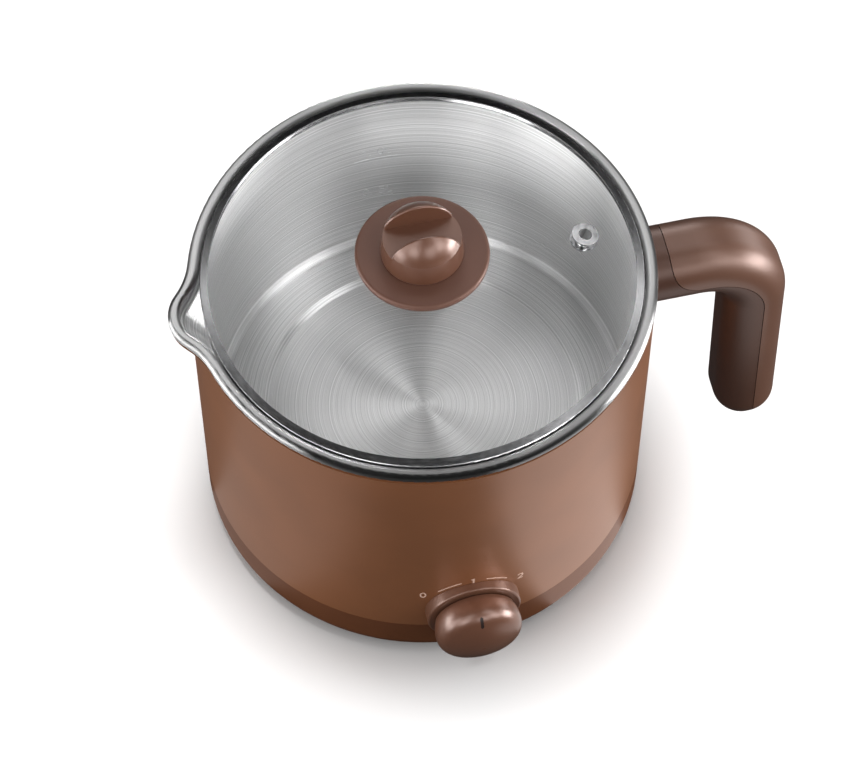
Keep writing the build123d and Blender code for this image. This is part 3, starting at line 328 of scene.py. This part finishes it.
# Strokes of plain figures in a box one unit high.
FIGURES = {
    "0": [bow((0.30, 0.50), (0.27, 0.46), 90, 450, 28)],
    "1": [[(0.12, 0.78), (0.34, 0.96), (0.34, 0.04)]],
    "2": [bow((0.30, 0.69), (0.26, 0.27), 170, -42) + [(0.06, 0.04), (0.58, 0.04)]],
    "5": [[(0.52, 0.96), (0.12, 0.96), (0.09, 0.55)] + bow((0.28, 0.33), (0.28, 0.29), 115, -145)],
    ".": [[(0.08, 0.04), (0.08, 0.12)]],
    "L": [[(0.08, 0.96), (0.08, 0.04), (0.50, 0.04)]],
}
FIGURE_PITCH = 0.74


def write(text, centre, height):
    """Strokes of a row of figures, centred on a point."""
    left = centre[0] - height * FIGURE_PITCH * len(text) / 2
    low = centre[1] - height / 2
    strokes = []
    for index, figure in enumerate(text):
        start = left + height * FIGURE_PITCH * (index + 0.1)
        for stroke in FIGURES[figure]:
            strokes.append([(start + u * height, low + v * height) for u, v in stroke])
    return strokes


def on_shell(u, v, rise):
    """Millimetres across and up from the control's axis, on the front of the shell."""
    angle = u / SHELL_RADIUS
    reach = SHELL_RADIUS + rise
    return Vector((reach * math.sin(angle), -reach * math.cos(angle), CONTROL_HEIGHT + v)) * MM


def on_inner_wall(u, v, rise):
    """Millimetres across and up from the base, on the inner wall opposite the control."""
    angle = u / INNER_RADIUS
    reach = INNER_RADIUS - rise
    return Vector((reach * math.sin(angle), reach * math.cos(angle), v)) * MM


# A stroke widens at a corner by one over the corner's cosine, and this is the least that counts.
LEAST_COSINE = 0.6


def marks(name, strokes, width, rise, place, surface):
    """Thin raised ribbons along strokes, as one piece of the pot's body."""
    mesh = bmesh.new()
    for stroke in strokes:
        rings = []
        for index, (u, v) in enumerate(stroke):
            before = Vector(stroke[max(0, index - 1)])
            after = Vector(stroke[min(len(stroke) - 1, index + 1)])
            along = (after - before).normalized()
            side = Vector((-along.y, along.x)) * width / 2
            if 0 < index < len(stroke) - 1:
                turn_cosine = (Vector((u, v)) - before).normalized().dot(along)
                side /= max(LEAST_COSINE, turn_cosine)
            ring = []
            for sign, lift in ((1, 0), (1, rise), (-1, rise), (-1, 0)):
                ring.append(mesh.verts.new(place(u + sign * side.x, v + sign * side.y, lift)))
            rings.append(ring)
        for first, second in zip(rings, rings[1:]):
            for corner in range(4):
                across = (corner + 1) % 4
                mesh.faces.new((first[corner], first[across], second[across], second[corner]))
        mesh.faces.new(rings[0][::-1])
        mesh.faces.new(rings[-1])
    bmesh.ops.recalc_face_normals(mesh, faces=mesh.faces)
    data = bpy.data.meshes.new(name)
    mesh.to_mesh(data)
    mesh.free()
    piece = bpy.data.objects.new(name, data)
    scene.collection.objects.link(piece)
    data.materials.append(surface.material)
    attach(piece, "pot")
    return piece


# Two arcs and three figures round the control show off, low and high.
ARC_RADIUS = 19.8
FIGURE_RADIUS = 22.6
FIGURE_HEIGHT = 3.6
SIDE_FIGURE_ANGLE = 57
DIAL_LINE = 0.55
DIAL_RISE = 0.06


def round_control(radius, degrees):
    """Point above the control, turned from straight up towards the right."""
    angle = math.radians(degrees)
    return (radius * math.sin(angle), radius * math.cos(angle))


ink = moulded("pale_ink", (0.62, 0.42, 0.33), 0.5, spread=0.03)
dial_strokes = [
    bow((0, 0), (ARC_RADIUS, ARC_RADIUS), 132, 103),
    bow((0, 0), (ARC_RADIUS, ARC_RADIUS), 75, 48),
]
dial_strokes += write("0", round_control(FIGURE_RADIUS, -SIDE_FIGURE_ANGLE), FIGURE_HEIGHT)
dial_strokes += write("1", round_control(ARC_RADIUS, 0), FIGURE_HEIGHT)
dial_strokes += write("2", round_control(FIGURE_RADIUS, SIDE_FIGURE_ANGLE), FIGURE_HEIGHT)
marks("dial_marks", dial_strokes, DIAL_LINE, DIAL_RISE, on_shell, ink)

# Two water levels with plain figures, etched on the back of the inner wall.
LEVEL_LINE = 0.5
LEVEL_RISE = 0.16
LEVEL_HALF_STEPS = 6
LEVEL_FIGURE_HEIGHT = 4.4
LEVEL_FIGURE_LIFT = 4.2
etched = brushed("etched_steel", (0.72, 0.72, 0.73), 0.5)
level_strokes = []
for text, height, half_width in (("1.0L", 98.0, 9.0), ("0.5L", 72.0, 6.0)):
    steps = range(2 * LEVEL_HALF_STEPS + 1)
    rule = [(half_width * (step / LEVEL_HALF_STEPS - 1), height) for step in steps]
    level_strokes.append(rule)
    level_strokes += write(text, (0.0, height + LEVEL_FIGURE_LIFT), LEVEL_FIGURE_HEIGHT)
marks("level_marks", level_strokes, LEVEL_LINE, LEVEL_RISE, on_inner_wall, etched)

# ------------------------------------------------------------------ stage and light
def audience(name, state, *things):
    """Collection for a lamp that lights these things only (INCLUDE) or all others (EXCLUDE)."""
    group = bpy.data.collections.new(name)
    for thing in things:
        group.objects.link(thing)
    for entry in group.collection_objects:
        entry.light_linking.link_state = state
    return group


FLOOR_HALF = 3.0
PALE = (0.93, 0.93, 0.93, 1.0)
DIM = (0.05, 0.05, 0.05, 1.0)
# A ray with fewer bounces than this has had none.
NO_BOUNCE = 0.5
floor_mesh = bpy.data.meshes.new("floor")
floor_mesh.from_pydata(
    [(sx * FLOOR_HALF, sy * FLOOR_HALF, 0) for sx, sy in ((-1, -1), (1, -1), (1, 1), (-1, 1))],
    [],
    [(0, 1, 2, 3)],
)
floor = bpy.data.objects.new("floor", floor_mesh)
scene.collection.objects.link(floor)
paper = Surface("paper")
paper.set(Base_Color=PALE, Roughness=0.9, Specular_IOR_Level=0.1)
# The paper gives less light back to the object than it shows, as a raised sweep would.
dim = paper.node("ShaderNodeBsdfDiffuse")
dim.inputs[0].default_value = DIM
seen = paper.node("ShaderNodeMixShader")
rays = paper.node("ShaderNodeLightPath").outputs
bounces = paper.math("ADD", rays["Glossy Depth"], rays["Diffuse Depth"])
paper.link(paper.math("LESS_THAN", bounces, NO_BOUNCE), seen.inputs[0])
paper.link(dim.outputs[0], seen.inputs[1])
paper.link(paper.shader.outputs[0], seen.inputs[2])
paper.link(seen.outputs[0], paper.tree.nodes["Material Output"].inputs["Surface"])
floor_mesh.materials.append(paper.material)

# The backdrop is pale where it is seen and gives no light.
world = bpy.data.worlds.new("studio")
scene.world = world
world.use_nodes = True
world_tree = world.node_tree
backdrop = world_tree.nodes["Background"]
backdrop.inputs[0].default_value = PALE
world_rays = world_tree.nodes.new("ShaderNodeLightPath").outputs
world_bounces = world_tree.nodes.new("ShaderNodeMath")
world_tree.links.new(world_rays["Glossy Depth"], world_bounces.inputs[0])
world_tree.links.new(world_rays["Diffuse Depth"], world_bounces.inputs[1])
world_seen = world_tree.nodes.new("ShaderNodeMath")
world_seen.operation = "LESS_THAN"
world_seen.inputs[1].default_value = NO_BOUNCE
world_tree.links.new(world_bounces.outputs[0], world_seen.inputs[0])
world_tree.links.new(world_seen.outputs[0], backdrop.inputs[1])

# A card round the front, which only shadow rays meet, keeps the inside lamps off the rim's
# outer face.
FLAG_RADIUS = 0.105
FLAG_HEIGHT = 0.148
FLAG_FOOT = 0.001
FLAG_REACH = 100
FLAG_STEP = 10
flag_points = []
for degrees in range(-FLAG_REACH, FLAG_REACH + 1, FLAG_STEP):
    angle = math.radians(degrees)
    across = FLAG_RADIUS * math.sin(angle)
    foot = turn @ Vector((across, -FLAG_RADIUS * math.cos(angle), FLAG_FOOT))
    flag_points += [foot, foot + Vector((0, 0, FLAG_HEIGHT))]
flag_faces = [(i, i + 2, i + 3, i + 1) for i in range(0, len(flag_points) - 2, 2)]
flag_mesh = bpy.data.meshes.new("flag")
flag_mesh.from_pydata(flag_points, [], flag_faces)
flag = bpy.data.objects.new("flag", flag_mesh)
scene.collection.objects.link(flag)
flag_mesh.materials.append(paper.material)
for ray in ("camera", "diffuse", "glossy", "transmission"):
    setattr(flag, "visible_" + ray, False)

NOT_PAPER = audience("but_not_paper", "EXCLUDE", floor)
NOT_POT = audience("but_not_pot", "EXCLUDE", floor, nodes["inner_pot"])
# The lid shows none of the softboxes behind it, as through a polarising filter.
NOT_GLASS = audience("but_not_glass", "EXCLUDE", floor, nodes["inner_pot"], nodes["lid_glass"])
LID_EDGE = [nodes[name] for name in ("inner_pot", "lid_glass", "lid_band")]
NOT_LID = audience("but_not_lid", "EXCLUDE", floor, *LID_EDGE)
ONLY_PAPER = audience("only_paper", "INCLUDE", floor)
ONLY_INSIDE = audience("only_inside", "INCLUDE", nodes["inner_pot"])
NO_FLAG = audience("all_but_flag", "EXCLUDE", flag)
# The handle and the control throw no shadow on the paper.
OVERHANGS = (
    "handle_cover",
    "handle_base",
    "handle_bracket",
    "handle_screws",
    "control_knob",
    "dial_bezel",
    "knob_pointer",
    "switch_shaft",
    "switch_nut",
)
NO_OVERHANG = audience("all_but_overhangs", "EXCLUDE", flag, *[nodes[name] for name in OVERHANGS])


def around(side, depth, height):
    """Point given as the camera sees it: to the right, away, and up."""
    return turn @ Vector((side, depth, height))


def softbox(name, spot, size, glow, aim=(0, 0, 0.08), lights=NOT_PAPER, shadows=NO_FLAG):
    """Rectangular area light of one brightness that faces its aim, out of the camera's sight."""
    data = bpy.data.lights.new(name, "AREA")
    data.shape = "RECTANGLE"
    data.size, data.size_y = size
    data.energy = glow * math.pi * size[0] * size[1]
    lamp = bpy.data.objects.new(name, data)
    scene.collection.objects.link(lamp)
    spot = around(*spot)
    lamp.location = spot
    lamp.rotation_euler = (around(*aim) - spot).to_track_quat("-Z", "Y").to_euler()
    lamp.visible_camera = False
    lamp.light_linking.receiver_collection = lights
    if lights is ONLY_INSIDE:
        # Bounced rays would miss the flag, so these lamps are found by shadow rays alone.
        data.cycles.use_multiple_importance_sampling = False
    else:
        lamp.light_linking.blocker_collection = shadows


# Each ring's elevation in degrees, its reach and the height of its softboxes in metres.
RINGS = {
    "low": (8, 0.85, 0.30),
    "slant": (15, 0.95, 0.30),
    "middle": (33, 1.10, 0.45),
    "high": (58, 1.20, 0.45),
}
RING_CENTRE = 0.05
BOX_WIDTH = 0.45
CARD_REACH = 0.16
CARD_WIDTH = 0.14
CARD_HEIGHT = 0.004


def ring_box(name, ring, azimuth, glow, lights=NOT_PAPER):
    """Softbox on a ring round the pot; azimuth 0 is the camera's side and 90 its right."""
    elevation, reach, tall = RINGS[ring]
    flat = reach * math.cos(math.radians(elevation))
    side = flat * math.sin(math.radians(azimuth))
    depth = -flat * math.cos(math.radians(azimuth))
    height = RING_CENTRE + reach * math.sin(math.radians(elevation))
    softbox(name, (side, depth, height), (BOX_WIDTH, tall), glow, lights=lights)


def floor_card(name, azimuth, glow):
    """Bright card that lies beside the pot and shows in the shell's satin sides."""
    side = CARD_REACH * math.sin(math.radians(azimuth))
    depth = -CARD_REACH * math.cos(math.radians(azimuth))
    spot = (side, depth, CARD_HEIGHT)
    softbox(name, spot, (CARD_WIDTH, CARD_WIDTH), glow, aim=(side, depth, 1.0))


SKY_LIGHT = 2.0
SKY_SPREAD = math.radians(150)
KEY_SPOT = (-0.08, 0.17, 2.0)
KEY_SIZE = (0.50, 0.50)
KEY_GLOW = 36.0
sky = bpy.data.lights.new("paper_sky", "SUN")
sky.energy = SKY_LIGHT
sky.angle = SKY_SPREAD
sky_lamp = bpy.data.objects.new("paper_sky", sky)
scene.collection.objects.link(sky_lamp)
sky_lamp.light_linking.receiver_collection = ONLY_PAPER
sky_lamp.light_linking.blocker_collection = NO_OVERHANG
softbox("paper_key", KEY_SPOT, KEY_SIZE, KEY_GLOW, (0, 0, 0), ONLY_PAPER, NO_OVERHANG)
for azimuth, glow in ((-60, 20.0), (-36, 14.0), (-12, 14.0), (12, 17.0), (36, 5.0)):
    ring_box("inside_" + str(azimuth), "slant", azimuth, glow, ONLY_INSIDE)
ring_box("inside_right", "high", 158, 0.8, ONLY_INSIDE)
ring_box("inside_left", "high", -158, 2.5, ONLY_INSIDE)
ring_box("inside_back", "slant", 180, 8.0, ONLY_INSIDE)
ring_box("front_right", "middle", 25, 3.4, NOT_POT)
ring_box("front_left", "middle", -25, 4.8, NOT_POT)
ring_box("handle_side", "low", 130, 3.0, NOT_GLASS)
ring_box("right_middle", "middle", 60, 5.5, NOT_POT)
ring_box("left_middle", "middle", -60, 3.0, NOT_POT)
ring_box("right_low", "low", 90, 18.0)
ring_box("left_low", "low", -60, 6.0)
ring_box("left_side", "low", -90, 8.0)
ring_box("right_high", "high", 75, 3.0, NOT_POT)
ring_box("front_high", "high", -30, 2.5, NOT_POT)
ring_box("back_right_high", "high", 145, 2.2, NOT_GLASS)
ring_box("back_left_high", "high", -145, 1.8, NOT_GLASS)
ring_box("back_middle", "middle", 180, 5.0, NOT_LID)
ring_box("back_high", "high", 180, 0.6, NOT_LID)
floor_card("left_card", -52, 0.25)
floor_card("right_card", 54, 0.8)
